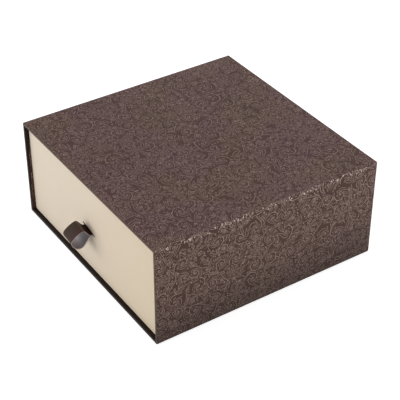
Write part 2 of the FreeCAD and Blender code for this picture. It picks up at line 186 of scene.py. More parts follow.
def greyboard_finish():
    material, shader, place = new_finish("greyboard", 0.92)
    mottle = place.noise(6.0, 4.0)
    pulp = place.stretched((1.0, 1.0, 6.0)).noise(0.7, 3.0)
    fibre = place.stretched((1.0, 0.35, 3.0)).noise(0.5, 1.0).above(0.64, 0.02)
    fleck = place.stretched((0.5, 1.0, 3.0)).noise(0.9, 1.0).above(0.7, 0.02)
    tone = (mottle * 0.6 + pulp * 0.4).blend(colour(118, 110, 101), colour(156, 149, 139))
    tone = (fibre * 0.5).blend(tone, colour(84, 77, 70))
    tone = (fleck * 0.55).blend(tone, colour(188, 182, 170))
    tone.feeds(shader, "Base Color")
    (pulp + mottle * 0.5).embosses(shader, depth=0.06 * MM)
    return material


greyboard = greyboard_finish()
finish_nodes(
    greyboard,
    "sleeve_top_board",
    "sleeve_bottom_board",
    "sleeve_left_board",
    "sleeve_right_board",
    "sleeve_back_board",
)


# --- Sleeve stay tapes -------------------------------------------------------------------------------
# Gummed brown kraft tape, folded down each long corner to hold the butted boards. The paper has long
# fibres along the roll, and a slight shine from its glue.


def kraft_finish():
    material, shader, place = new_finish("kraft_tape", 0.7)
    streak = place.stretched((1.0, 0.12, 1.0)).noise(0.8, 3.0)
    cloud = place.noise(7.0, 2.0)
    speck = place.noise(0.6, 1.0).above(0.68, 0.02)
    tone = (streak * 0.7 + cloud * 0.3).blend(colour(148, 110, 74), colour(188, 150, 108))
    tone = (speck * 0.5).blend(tone, colour(104, 72, 46))
    tone.feeds(shader, "Base Color")
    (cloud * 0.2 + 0.6).feeds(shader, "Roughness")
    streak.embosses(shader, depth=0.03 * MM)
    return material


kraft_tape = kraft_finish()
finish_nodes(
    kraft_tape,
    "sleeve_top_left_stay_tape",
    "sleeve_top_right_stay_tape",
    "sleeve_bottom_left_stay_tape",
    "sleeve_bottom_right_stay_tape",
)


# --- Sleeve linings ----------------------------------------------------------------------------------
# Plain dark brown paper, uncoated, so it is dull and shows a few pale fibres. One sheet is glued on each
# board inside the sleeve. Near the mouth they meet the turned-in cover papers edge to edge.


def dark_paper_finish():
    material, shader, place = new_finish("dark_lining_paper", 0.8)
    cloud = place.noise(16.0, 3.0)
    tooth = place.noise(0.35, 2.0)
    fibre = place.stretched((0.3, 1.0, 1.0)).noise(0.8, 1.0).above(0.66, 0.03)
    tone = (cloud * 0.6 + tooth * 0.4).blend(colour(44, 34, 31), colour(66, 53, 48))
    tone = (fibre * 0.3).blend(tone, colour(92, 77, 70))
    tone.feeds(shader, "Base Color")
    (tooth * 0.2 + 0.68).feeds(shader, "Roughness")
    (tooth + fibre * 0.5).embosses(shader, depth=0.03 * MM)
    return material


dark_lining_paper = dark_paper_finish()
finish_nodes(
    dark_lining_paper,
    "sleeve_top_lining",
    "sleeve_floor_lining",
    "sleeve_left_lining",
    "sleeve_right_lining",
    "sleeve_back_lining",
)


# --- Sleeve cover paper ------------------------------------------------------------------------------
# One sheet of dark brown paper round the sides and top, printed with scrolling foliage in pearl ink and
# lightly embossed. It is folded round the boards, turned in at the mouth, and folded on to the back and
# the underside. The pieces here are its panels, and the pattern runs on from one to the next.

FULL_TURN = 2 * math.pi
HALF_LINE = 0.16  # half the width of a printed line, in millimetres
LINE_BLUR = 0.07  # how far its edge fades, to each side
INK_FILL = 0.12  # how strong the ink is inside an outlined shape


def scatter(place, spacing, loose, seed):
    """Where this place is from the nearest of many scattered centres, and that centre's own chances."""
    moved = place.shifted((seed, seed * 0.7, 0))
    sockets = {"Vector": moved, "Scale": 1 / spacing, "Randomness": loose}
    centre = moved.node("TexVoronoi", {"voronoi_dimensions": "2D"}, sockets, "Position")
    chances = centre.node("SeparateColor", None, {0: centre.other("Color")})
    return moved.from_point(centre), chances


def round_centre(offset, chances):
    """How far out an offset is, and how far round in turns, starting anywhere."""
    across = offset.parts()
    turn = across.other("Y").math("ARCTAN2", across) / FULL_TURN
    return offset.length(), turn + chances


def nearest_whole(value):
    """0 where the value is a whole number, 0.5 half way between two."""
    return value.math("PINGPONG", 0.5)


def drawn(from_line):
    """A printed line, from the distance to its middle."""
    return from_line.below(HALF_LINE, LINE_BLUR)


def outlined(edge):
    """A printed shape with a bright outline and a duller middle; edge is below 0 inside it."""
    fill = edge.below(0.0, LINE_BLUR) * INK_FILL
    return drawn((edge + HALF_LINE).math("ABSOLUTE")).math("MAXIMUM", fill)


def scroll(offset, chances, growth, leaves, slant, leaf_start, share, bud):
    """A spiral stem that starts in a round bud, with a fan of curved leaves on its outside.

    The leaves fill a share of each turn, and lines that follow the stem fill the rest.
    """
    echoes = 3.4  # lines that follow the stem, from one of its turns to the next
    radius, turn = round_centre(offset, chances)
    hand = chances.other("Green").math("GREATER_THAN", 0.5) * 2 - 1
    turn = turn * hand
    winding = (radius / (2.3 * bud)).math("LOGARITHM", math.e) / growth - turn
    from_stem = nearest_whole(winding) * radius * growth
    stem = drawn(from_stem - radius * 0.012) * radius.above(bud * 0.8, 0.1)
    outward = winding.math("FRACT")
    along = turn * leaves - (outward * 0.4 + outward * outward * 0.6) * slant
    pitch = radius * (FULL_TURN / leaves)
    swell = ((outward * 1.25).math("MINIMUM", 1.0) * math.pi).math("SINE").math("POWER", 0.8)
    leaf = outlined((0.5 - nearest_whole(along) - swell * 0.3) * pitch)
    leaf = leaf * outward.below(0.8, 0.02)
    if share < 1:
        echo = drawn(nearest_whole(outward * echoes) * radius * (growth / echoes))
        echo = echo * outward.above(0.2, 0.02) * outward.below(0.85, 0.02)
        leaf = leaf + (echo - leaf) * turn.math("FRACT").above(share, 0.01)
    leaf = leaf * radius.above(leaf_start, 0.1)
    return stem.math("MAXIMUM", leaf).math("MAXIMUM", outlined(radius - bud)), radius


def rosette(offset, chances, reach):
    """A round flower: a bud, a ring, a scalloped ring and a ring of petals out to its reach."""
    petals = 8
    petals_from = 4.2
    radius, turn = round_centre(offset, chances)
    bud = outlined(radius - 0.9)
    ring = drawn((radius - 2.0).math("ABSOLUTE"))
    lobes = (turn * (petals * FULL_TURN)).math("COSINE")
    scallop = drawn((radius - 3.4 - lobes * 0.4).math("ABSOLUTE"))
    outward = (radius - petals_from) / (reach - petals_from)
    outward = outward.math("MAXIMUM", 0.0).math("MINIMUM", 1.0)
    from_middle = (0.5 - nearest_whole(turn * petals + 0.5)) * radius * (FULL_TURN / petals)
    petal = outlined(from_middle - (outward * math.pi).math("SINE").math("POWER", 0.7) * 1.5)
    vein = drawn(from_middle) * outward.above(0.1, 0.02) * outward.below(0.7, 0.02)
    flower = bud.math("MAXIMUM", ring).math("MAXIMUM", scallop)
    return flower.math("MAXIMUM", petal).math("MAXIMUM", vein)


def fern(offset, chances, reach):
    """A bent stem with slanting leaves on both sides."""
    leaf_pitch = 4.0
    sockets = {"Vector": offset, "Angle": chances * FULL_TURN}
    turned = offset.node("VectorRotate", {"rotation_type": "Z_AXIS"}, sockets).parts()
    share = turned / reach
    from_stem = turned.other("Y") - share * share * (reach * 0.45) + 0.5
    side = from_stem.math("ABSOLUTE")
    taper = (1 - share * share).math("MAXIMUM", 0.0).math("SQRT")
    along = (turned - side + from_stem.math("SIGN") * 0.5) / leaf_pitch
    outward = (side / (taper * (reach * 0.66) + 0.01)).math("MINIMUM", 1.0)
    wide = (outward * math.pi).math("SINE").math("POWER", 0.8) * 0.27
    leaf = outlined((0.5 - nearest_whole(along) - wide) * leaf_pitch) * outward.below(0.97, 0.02)
    stem = drawn(side) * taper.above(0.25, 0.02)
    return leaf.math("MAXIMUM", stem)


def foliage(place):
    """The pearl pattern, 1 on its lines: scrolls and rosettes, with ferns, curls and berries between."""
    wander = place.noise(12.0, 0.0, "Color").from_point((0.5, 0.5, 0.5)).stretched((5.0, 5.0, 0.0))
    place = place.shifted(wander)

    def scroll_cell(point):
        """Where a point is from the middle of its scroll or rosette, the chances, and how far it reaches."""
        offset, chances = scatter(point, spacing=16.5, loose=0.5, seed=3.0)
        return offset, chances, chances.other("Blue") * 2.4 + 5.6

    offset, chances, reach = scroll_cell(place)
    large, radius = scroll(
        offset,
        chances,
        growth=chances.other("Blue") * 0.5 + 1.2,
        leaves=7,
        slant=1.5,
        leaf_start=2.6,
        share=0.8,
        bud=1.0,
    )
    is_flower = chances.other("Green").math("PINGPONG", 0.25).above(0.17, 0.001)
    large = large + (rosette(offset, chances, reach) - large) * is_flower
    large = large * (radius - reach).below(0.0, 0.1)
    outside = (radius - reach).above(0.35, 0.1)

    # A fern is left out where its middle is too near a scroll.
    fern_reach = 6.4
    offset, chances = scatter(place, spacing=10.5, loose=0.7, seed=11.0)
    middle = place.from_point(offset)
    scroll_offset, _, scroll_reach = scroll_cell(middle)
    has_room = (scroll_offset.length() - scroll_reach).above(1.8, 0.01)
    ferns = fern(offset, chances, fern_reach) * has_room * offset.length().below(fern_reach, 0.1)
    beside = 1 - has_room * offset.length().below(fern_reach + 0.4, 0.1)

    curl_reach = 3.4
    offset, chances = scatter(place, spacing=6.8, loose=0.7, seed=23.0)
    curls, radius = scroll(
        offset,
        chances,
        growth=1.4,
        leaves=4,
        slant=1.0,
        leaf_start=1.0,
        share=1.0,
        bud=0.7,
    )
    curls = curls * radius.below(curl_reach, 0.08)
    offset, chances = scatter(place, spacing=2.6, loose=0.6, seed=37.0)
    berries = (offset.length() - 0.45 - chances * 0.3).below(0.0, 0.1)
    berries = berries * radius.above(curl_reach + 0.4, 0.1)
    curls = curls.math("MAXIMUM", berries) * beside

    # Long winding stems follow lines of equal height in a field of soft hills.
    hill = 24
    levels = 5.0

    def height(point):
        settings = {"noise_dimensions": "2D"}
        return point.node("TexNoise", settings, {"Vector": point, "Scale": 1 / hill, "Detail": 0.0})

    step = 0.3
    here = height(place)
    east = height(place.shifted((step, 0, 0))) - here
    north = height(place.shifted((0, step, 0))) - here
    slope = (east * east + north * north).math("SQRT") / step
    from_stem = nearest_whole(here * levels) / levels / (slope + 0.002)
    stems = drawn(from_stem) * outside
    small = curls.math("MAXIMUM", ferns) * outside * from_stem.above(0.6, 0.08)
    return large.math("MAXIMUM", small).math("MAXIMUM", stems)


def patterned_paper_finish():
    """Across and along are on the flat sheet, in millimetres; base and back sheets lie beyond 200 across."""
    other_sheets = 200.0
    fold_middle = 101.2
    over_mouth = -99.9
    material, shader, place = new_finish("patterned_cover_paper", 0.5, "UV")
    shader.inputs["Specular IOR Level"].default_value = 0.15
    pattern = foliage(place)
    tooth = place.noise(0.3, 2.0)
    cloud = place.noise(38.0, 3.0)
    shade = cloud * 0.6 + tooth * 0.4
    across = place.parts()
    along = across.other("Y")
    from_top = across.math("ABSOLUTE")
    on_side = from_top.above(99.5, 1.0)
    brown = shade.blend(colour(62, 43, 36), colour(81, 58, 49))
    plum = shade.blend(colour(63, 41, 42), colour(82, 55, 57))
    plum_patch = place.shifted((70, 20, 0)).noise(55.0, 1.0).above(0.5, 0.12)
    ground = (plum_patch * (1 - on_side * 0.55)).blend(brown, plum)
    pearl = shade.blend(colour(128, 107, 99), colour(161, 138, 128))

    # On the top the print is a little weaker, a painted haze of sheen, and down the sides the ink is
    # brighter, painted light. Along the long folds, bright specks of ink are a painted glint.
    pattern = pattern * (on_side * 0.12 + 0.88)
    pearl = (on_side * 0.2).blend(pearl, colour(206, 176, 160))
    on_fold = (from_top - fold_middle).math("ABSOLUTE").below(2.3, 0.8)
    often = place.noise(9.0, 2.0).above(0.44, 0.08)
    shaken = place.shifted(place.noise(2.0, 0.0, "Color"))
    from_glint, _ = scatter(shaken, spacing=2.7, loose=0.9, seed=51.0)
    speck = from_glint.stretched((0.75, 1.3, 1.0)).length().below(0.65, 0.2) * on_fold * often
    pattern = pattern.math("MAXIMUM", speck)
    pearl = (speck + on_fold * often * 0.15).blend(pearl, colour(232, 216, 204))

    # Over the boards at the mouth it is muted to a plain brown, and at the left and below it is painted
    # nearly black: painted shade in the recess.
    over_board = along.below(over_mouth, 0.15)
    painted_recess_shade = over_board * (across.below(-100.6, 0.3) + across.above(other_sheets, 1.0))
    pearl = painted_recess_shade.blend(over_board.blend(pearl, colour(104, 84, 68)), colour(52, 41, 33))
    ground = painted_recess_shade.blend(over_board.blend(ground, colour(78, 60, 46)), colour(29, 20, 15))

    # Low on the sides painted shade darkens the paper towards the base, and the sill is painted nearly
    # black as shade in the recess.
    on_cover = from_top.below(other_sheets, 1.0)
    painted_base_shade = from_top.above(180.0, 50.0) * on_cover.math("MAXIMUM", over_board)
    painted_base_shade.blend(pattern.blend(ground, pearl), colour(22, 9, 5)).feeds(shader, "Base Color")
    (0.5 - pattern * 0.06 + tooth * 0.08).feeds(shader, "Roughness")
    (pattern * 0.25).feeds(shader, "Metallic")
    (pattern + tooth * 0.12).embosses(shader, depth=0.05 * MM)
    return material


patterned_paper = patterned_paper_finish()

PAPER = 0.12 * MM
SLEEVE_HALF = 100.0 * MM
SLEEVE_TOP = 86.6 * MM
SLEEVE_BACK = 99.88 * MM
MOUTH = -100.0 * MM
LONG_EDGE_RADIUS = 0.9 * MM
MOUTH_FOLD_RADIUS = 0.45 * MM
WALL = 2.34 * MM
TURN_IN = 15.0 * MM
FLAP = 15.0 * MM
ABOVE_SILL = 3.0 * MM
HAIR = 0.01 * MM  # a tolerance, smaller than any fold


def start_shape(name, add, spans, middle, **options):
    """Adds a primitive of this size at this place, and opens it to be shaped."""
    bpy.ops.object.select_all(action="DESELECT")
    add(location=middle, **options)
    piece = bpy.context.object
    piece.name = name
    piece.scale = spans
    bpy.ops.object.transform_apply(location=True, rotation=True, scale=True)
    bpy.ops.object.mode_set(mode="EDIT")
    return piece


def choose(piece, kind, test):
    """Selects only the faces or edges of the open piece whose middle passes the test."""
    bpy.ops.mesh.select_mode(type=kind)
    bpy.ops.mesh.select_all(action="DESELECT")
    mesh = bmesh.from_edit_mesh(piece.data)
    for part in mesh.faces if kind == "FACE" else mesh.edges:
        corners = [corner.co for corner in part.verts]
        middle = sum(corners[1:], corners[0].copy()) / len(corners)
        if test(middle, part):
            part.select_set(True)
    mesh.select_flush_mode()
    bmesh.update_edit_mesh(piece.data)


def move_points(piece, place_of):
    """Moves each selected point of the open piece."""
    mesh = bmesh.from_edit_mesh(piece.data)
    for point in mesh.verts:
        if point.select:
            point.co = place_of(point.co)
    bmesh.update_edit_mesh(piece.data)


def fold_steps(radius, thickness, steps=4):
    """Over a board's edge from its outer face to its inner one: how far in, and how far forward."""
    angles = [math.pi / 2 * step / steps for step in range(1, steps + 1)]
    rising = [(radius - radius * math.cos(a), radius * math.sin(a) - radius) for a in angles]
    return rising + [(thickness - depth, out) for depth, out in reversed(rising[:-1])] + [
        (thickness, -radius)
    ]


def lay_out(piece, sheet_place):
    """Maps each point of the piece to its place on the flat sheet of paper."""
    mesh = piece.data
    layer = mesh.uv_layers.active or mesh.uv_layers.new(name="sheet")
    for corner in mesh.loops:
        layer.data[corner.index].uv = sheet_place(mesh.vertices[corner.vertex_index].co)


def give_thickness(piece, thickness):
    """Makes an open sheet a closed one of this thickness, behind its outer face, and smooths its folds."""
    bpy.ops.object.select_all(action="DESELECT")
    piece.select_set(True)
    bpy.context.view_layer.objects.active = piece
    skin = piece.modifiers.new("thickness", "SOLIDIFY")
    skin.thickness = thickness
    skin.offset = -1
    skin.use_even_offset = True
    bpy.ops.object.modifier_apply(modifier=skin.name)
    bpy.ops.object.shade_smooth_by_angle(angle=math.radians(35))
    weights = piece.modifiers.new("weights", "WEIGHTED_NORMAL")
    weights.keep_sharp = True
    bpy.ops.object.modifier_apply(modifier=weights.name)


def hand_over(piece, body, slot, material, *nodes):
    """Puts a finished piece on its body, in the place of these CAD nodes."""
    piece.data.materials.clear()
    piece.data.materials.append(material)
    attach(piece, body)
    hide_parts(*nodes)


front_edge = MOUTH + MOUTH_FOLD_RADIUS
cover = start_shape(
    "sleeve_cover_top",
    bpy.ops.mesh.primitive_cube_add,
    (2 * SLEEVE_HALF, SLEEVE_BACK - front_edge, SLEEVE_TOP - PAPER),
    (0, (SLEEVE_BACK + front_edge) / 2, (SLEEVE_TOP + PAPER) / 2),
    size=1,
)

# The front is open and the other edges are rounded. The back and the underside are cut back to flaps.
choose(cover, "FACE", lambda middle, face: face.normal.y < -0.9)
bpy.ops.mesh.delete(type="FACE")
choose(cover, "EDGE", lambda middle, edge: not edge.is_boundary)
bpy.ops.mesh.bevel(offset=LONG_EDGE_RADIUS, segments=5, affect="EDGES")
for facing in ("y", "-z"):
    sign = -1 if facing[0] == "-" else 1
    choose(
        cover,
        "FACE",
        lambda middle, face: getattr(face.normal, facing[-1]) * sign > 0.99 and face.calc_area() > FLAP**2,
    )
    bpy.ops.mesh.inset(thickness=FLAP - LONG_EDGE_RADIUS, depth=0)
    bpy.ops.mesh.delete(type="FACE")

# The sill is left bare for the base sheet. The rest of the mouth's edge goes over the boards and in.
choose(
    cover,
    "FACE",
    lambda middle, face: face.normal.z < -0.99 and middle.y < MOUTH + FLAP and abs(middle.x) < MM,
)
bpy.ops.mesh.delete(type="FACE")
choose(
    cover,
    "EDGE",
    lambda middle, edge: edge.is_boundary and middle.y < front_edge + HAIR and middle.z > PAPER * 1.01,
)
inset, level = 0.0, front_edge
for new_inset, out in fold_steps(MOUTH_FOLD_RADIUS, WALL) + [(WALL, -TURN_IN)]:
    new_level = MOUTH - out
    bpy.ops.mesh.extrude_region_move(
        TRANSFORM_OT_translate={"value": (0, new_level - level, 0)}
    )

    def step_in(point):
        """Draws the fold in to its new depth, no further than the walls beside the sill."""
        across = point.x * (SLEEVE_HALF - new_inset) / (SLEEVE_HALF - inset)
        least = SLEEVE_HALF - WALL
        if abs(across) < least and point.z < ABOVE_SILL:
            across = math.copysign(least, across)
        up = point.z * (SLEEVE_TOP - new_inset) / (SLEEVE_TOP - inset)
        return (across, point.y, up)

    move_points(cover, step_in)
    inset, level = new_inset, new_level


def round_sleeve(point):
    """The place of a point on the sheet: across the sleeve from the top's middle, and along it."""
    inset = 0.0
    if point.y < MOUTH + TURN_IN + MM and point.z > ABOVE_SILL:
        side_inset = SLEEVE_HALF - abs(point.x)
        inset = max(0.0, min(side_inset, SLEEVE_TOP - point.z, WALL))
    across = point.x * SLEEVE_HALF / (SLEEVE_HALF - inset)
    up = point.z * SLEEVE_TOP / (SLEEVE_TOP - inset)
    along = point.y - inset if inset < WALL / 2 else 2 * MOUTH - inset - point.y
    if point.y > SLEEVE_BACK - MM:
        along += min(SLEEVE_HALF - abs(point.x), SLEEVE_TOP - point.z)
    return (across + math.copysign(SLEEVE_TOP - up, across), along)


bpy.ops.object.mode_set(mode="OBJECT")
lay_out(cover, round_sleeve)

# The two sides are parted from the top at the folds.
bpy.ops.object.mode_set(mode="EDIT")
panels = [cover]
for side, name in ((-1, "sleeve_cover_left"), (1, "sleeve_cover_right")):

    def is_side(middle, face):
        across = round_sleeve(middle)[0]
        return across * side > SLEEVE_HALF + 0.8 * LONG_EDGE_RADIUS and middle.y < SLEEVE_BACK - HAIR

    choose(cover, "FACE", is_side)
    before = set(bpy.data.objects)
    bpy.ops.mesh.separate(type="SELECTED")
    panel = next(item for item in bpy.data.objects if item not in before)
    panel.name = name
    panels.append(panel)
bpy.ops.object.mode_set(mode="OBJECT")
for panel in panels:
    give_thickness(panel, PAPER)
    hand_over(panel, "sleeve", "patterned_cover_paper", patterned_paper, "sleeve_wrap")


# --- Sleeve base sheet -------------------------------------------------------------------------------
# A second sheet of the same paper, glued under the box over the flaps. Its front end is folded up over
# the edge of the bottom board and turned in on the sleeve's floor.

BASE_HALF = 97.66 * MM
BASE_BACK = 98.0 * MM
SILL = 2.46 * MM
BASE_SHEET_START = 310.0 * MM

base_sheet = start_shape(
    "sleeve_base_cover",
    bpy.ops.mesh.primitive_plane_add,
    (2 * BASE_HALF, BASE_BACK - front_edge, 1),
    (0, (BASE_BACK + front_edge) / 2, 0),
    size=1,
)
choose(base_sheet, "EDGE", lambda middle, edge: middle.y < front_edge + HAIR)
height, level = 0.0, front_edge
for rise, out in fold_steps(MOUTH_FOLD_RADIUS, SILL) + [(SILL, -TURN_IN)]:
    bpy.ops.mesh.extrude_region_move(
        TRANSFORM_OT_translate={"value": (0, MOUTH - out - level, rise - height)}
    )
    height, level = rise, MOUTH - out
bpy.ops.mesh.select_all(action="SELECT")
bpy.ops.mesh.flip_normals()
bpy.ops.object.mode_set(mode="OBJECT")


def along_base(point):
    """The place of a point on the base sheet, whose pattern is its own."""
    folded = point.y - point.z if point.z < SILL / 2 else 2 * MOUTH - point.z - point.y
    return (point.x + BASE_SHEET_START, folded)


lay_out(base_sheet, along_base)
give_thickness(base_sheet, PAPER)
hand_over(base_sheet, "sleeve", "patterned_cover_paper", patterned_paper, "sleeve_base_sheet")


# --- Sleeve back sheet -------------------------------------------------------------------------------
# A trimmed piece of the same patterned paper, glued over the flaps of the cover to close the back. It
# stops 2 mm inside the edges, and its corners are slightly rounded.

BACK_FACE = 100.0 * MM
BACK_INSET = 2.0 * MM
CORNER_ROUNDING = 0.6 * MM
BACK_SHEET_START = (630.0 * MM, 270.0 * MM)

back_sheet = start_shape(
    "sleeve_back_cover",
    bpy.ops.mesh.primitive_plane_add,
    (2 * (SLEEVE_HALF - BACK_INSET), SLEEVE_TOP - 2 * BACK_INSET, 1),
    (0, BACK_FACE, SLEEVE_TOP / 2),
    size=1,
    rotation=(-math.pi / 2, 0, 0),
)
bpy.ops.mesh.select_all(action="SELECT")
bpy.ops.mesh.bevel(offset=CORNER_ROUNDING, segments=3, affect="VERTICES")
bpy.ops.object.mode_set(mode="OBJECT")
lay_out(back_sheet, lambda point: (point.x + BACK_SHEET_START[0], point.z + BACK_SHEET_START[1]))
give_thickness(back_sheet, PAPER)
hand_over(back_sheet, "sleeve", "patterned_cover_paper", patterned_paper, "sleeve_back_sheet")


# --- Drawer boards and stay tapes --------------------------------------------------------------------
# A tray of the same greyboard: a bottom and four walls, butted. Folded kraft tape holds its four upright
# corners. The front board has a slot for the ribbon.

finish_nodes(
    greyboard,
    "drawer_bottom_board",
    "drawer_front_board",
    "drawer_back_board",
    "drawer_left_board",
    "drawer_right_board",
)
finish_nodes(
    kraft_tape,
    "drawer_front_left_stay_tape",
    "drawer_front_right_stay_tape",
    "drawer_back_left_stay_tape",
    "drawer_back_right_stay_tape",
)


# --- Drawer cover paper ------------------------------------------------------------------------------
# One sheet of smooth cream paper under the tray and up its four walls, folded over the rim and turned
# down inside. The front has a slit cut through it for the ribbon, which has spread to an eye shape.


def cream_finish(name, roughness):
    """Smooth cream paper with fine tooth and pale fibres; painted shade, yellower and darker, to the right.
    """
    material, shader, place = new_finish(name, roughness)
    tooth = place.noise(0.28, 2.0)
    cloud = place.noise(30.0, 2.0)
    fibre = place.stretched((0.25, 1.0, 0.25)).noise(0.9, 1.0).above(0.68, 0.03)
    tone = (cloud * 0.5 + tooth * 0.5).blend(colour(217, 202, 181), colour(228, 214, 195))
    # Painted shade: yellower and darker towards the right.
    tone = (place.parts().above(30.0, 70.0) * 0.6).blend(tone, colour(213, 196, 167))
    tone = (fibre * 0.1).blend(tone, colour(236, 227, 210))
    tone.feeds(shader, "Base Color")
    (tooth * 0.15 + roughness - 0.07).feeds(shader, "Roughness")
    (tooth + fibre * 0.3).embosses(shader, depth=0.015 * MM)
    return material


cream_paper = cream_finish("cream_cover_paper", 0.62)

DRAWER_HALF = 97.16 * MM
DRAWER_FACE = -96.7 * MM
DRAWER_BACK = 97.24 * MM
DRAWER_BASE = 2.46 * MM
DRAWER_RIM = 83.36 * MM
UPRIGHT_RADIUS = 0.6 * MM
RIM_FOLD_RADIUS = 0.4 * MM
SLOT_MIDDLE = (-3.3 * MM, DRAWER_FACE, 39.3 * MM)
SLOT_SLANT = math.radians(11.5)
SLOT_LENGTH = 18.8 * MM
SLOT_OPENING = 2.4 * MM

rim_edge = DRAWER_RIM - RIM_FOLD_RADIUS
tray_middle = (DRAWER_BACK + DRAWER_FACE) / 2
tray_half_depth = (DRAWER_BACK - DRAWER_FACE) / 2
tray = start_shape(
    "drawer_cover_tray",
    bpy.ops.mesh.primitive_cube_add,
    (2 * DRAWER_HALF, 2 * tray_half_depth, rim_edge - DRAWER_BASE),
    (0, tray_middle, (rim_edge + DRAWER_BASE) / 2),
    size=1,
)

# The tray is open above, with rounded edges, and is folded over the rim and turned down inside.
choose(tray, "FACE", lambda middle, face: face.normal.z > 0.9)
bpy.ops.mesh.delete(type="FACE")
choose(tray, "EDGE", lambda middle, edge: not edge.is_boundary)
bpy.ops.mesh.bevel(offset=UPRIGHT_RADIUS, segments=4, affect="EDGES")
choose(tray, "EDGE", lambda middle, edge: edge.is_boundary)
inset, level = 0.0, rim_edge
for new_inset, out in fold_steps(RIM_FOLD_RADIUS, WALL) + [(WALL, -TURN_IN)]:
    new_level = DRAWER_RIM + out
    bpy.ops.mesh.extrude_region_move(
        TRANSFORM_OT_translate={"value": (0, 0, new_level - level)}
    )
    narrower = (DRAWER_HALF - new_inset) / (DRAWER_HALF - inset)
    shorter = (tray_half_depth - new_inset) / (tray_half_depth - inset)
    move_points(
        tray,
        lambda point: (point.x * narrower, tray_middle + (point.y - tray_middle) * shorter, point.z),
    )
    inset, level = new_inset, new_level

# The front is parted from the tray, and the slit is cut through it.
choose(
    tray,
    "FACE",
    lambda middle, face: middle.y < DRAWER_FACE + WALL + HAIR and abs(middle.x) < DRAWER_HALF / 2,
)
before = set(bpy.data.objects)
bpy.ops.mesh.separate(type="SELECTED")
tray_front = next(item for item in bpy.data.objects if item not in before)
tray_front.name = "drawer_cover_front"
bpy.ops.object.mode_set(mode="OBJECT")
give_thickness(tray, PAPER)

cutter = start_shape(
    "slit_cutter",
    bpy.ops.mesh.primitive_cylinder_add,
    (SLOT_LENGTH / 2, SLOT_OPENING / 2, 2 * MM),
    (0, 0, 0),
    radius=1,
    depth=1,
    vertices=48,
)
bpy.ops.mesh.select_all(action="SELECT")


def eye_shape(point):
    """Fills out the ends of the round cutter, so that the slit gapes nearly from end to end."""
    fullness = 0.28  # 0 leaves an ellipse, and 0.5 would make its sides straight
    share = min(1.0, abs(point.x) / (SLOT_LENGTH / 2))
    return (point.x, point.y * (1.001 - share**2) ** -fullness, point.z)


move_points(cutter, eye_shape)
bpy.ops.object.mode_set(mode="OBJECT")
cutter.rotation_euler = (math.pi / 2, SLOT_SLANT, 0)
cutter.location = SLOT_MIDDLE
bpy.ops.object.transform_apply(location=True, rotation=True, scale=True)
give_thickness(tray_front, PAPER)
slit = tray_front.modifiers.new("slit", "BOOLEAN")
slit.object = cutter
slit.operation = "DIFFERENCE"
slit.solver = "EXACT"
bpy.ops.object.modifier_apply(modifier=slit.name)
bpy.data.objects.remove(cutter)
for panel in (tray, tray_front):
    hand_over(panel, "drawer", "cream_cover_paper", cream_paper, "drawer_wrap")


# --- Drawer linings and ribbon card ------------------------------------------------------------------
# Cream paper on the tray's floor and round its walls, up to the turned-in cover. A cream card is glued
# over the ribbon's two ends, inside the front.

finish_nodes(cream_paper, "drawer_floor_lining", "drawer_wall_lining")
cream_card = cream_finish("cream_card", 0.7)
finish_nodes(cream_card, "ribbon_anchor_card")


# --- Ribbon pull -------------------------------------------------------------------------------------
# A dark brown satin ribbon, half an inch wide, doubled through the slit with its ends glued up and down
# behind it. Its loop stands out by its own stiffness, with a soft crease at its highest point.

RIBBON_WIDTH = 12.7 * MM
RIBBON_THICKNESS = 0.28 * MM
RUN_LEVEL = 0.25 * MM
RIBBON_LEG = 22.0 * MM
RIBBON_BEND = 0.95 * MM
LEG_LEVEL = -2.56 * MM
TOP_RUN_AT_SLIT = -0.45 * MM
LOW_RUN_AT_SLIT = -0.85 * MM
SLIT_HOLD = 0.8 * MM  # keeps the line level through the slit

# Places on the ribbon's line in section: out from the drawer's face, and up from the slit's middle.
CREASE = (8.4 * MM, 7.2 * MM)
FRONT_FOLD = (18.5 * MM, -1.1 * MM)
LOWEST = (9.6 * MM, -11.1 * MM)


def satin_finish(name, gloss, roughness, low, high, right, edge, crease, slit_shade, slit_from):
    """Satin with its threads lengthwise, in streaks from low to high.

    Other tones take over on its right half, its woven edges and its crease, where the calls paint light
    and shade. The painted shade by the slit starts about slit_from millimetres from the loop's middle.
    """
    thread_pitch = 0.16
    half_width = RIBBON_WIDTH / MM / 2
    material, shader, place = new_finish(name, roughness, "UV")
    shader.inputs["Specular IOR Level"].default_value = gloss
    across = place.parts()
    along = across.other("Y")
    thread = (across * (FULL_TURN / thread_pitch)).math("SINE") * 0.5 + 0.5
    slub = place.stretched((8.0, 0.35, 1.0)).noise(1.0, 2.0)
    cloud = place.noise(5.0, 2.0)
    selvedge = (across - half_width).math("ABSOLUTE").above(half_width - 0.5, 0.1)
    tone = (slub * 0.4 + cloud * 0.6).blend(low, high)
    tone = (across.above(8.0, 5.0) * 0.6).blend(tone, right)
    from_middle = (along - ribbon_length / MM / 2).math("ABSOLUTE")
    # Painted shade near the slit, where the ribbon goes in.
    tone = from_middle.above(slit_from, 6.0).blend(tone, slit_shade)
    tone = selvedge.blend(tone, edge)
    from_crease = (along - crease_at / MM).math("ABSOLUTE")
    tone = (from_crease.below(0.3, 0.25) * 0.5).blend(tone, crease)
    tone.feeds(shader, "Base Color")
    (slub * 0.16 + roughness - 0.08).feeds(shader, "Roughness")
    (thread * 0.4 + slub * 0.6 + selvedge * 2.0).embosses(shader, depth=0.03 * MM)
    return material


knots = []


def add_knot(place, before=(0, 0), after=(0, 0)):
    """Carries the line on to a place. It comes from before and leaves for after, both seen from there."""
    knots.append((place, before, after))


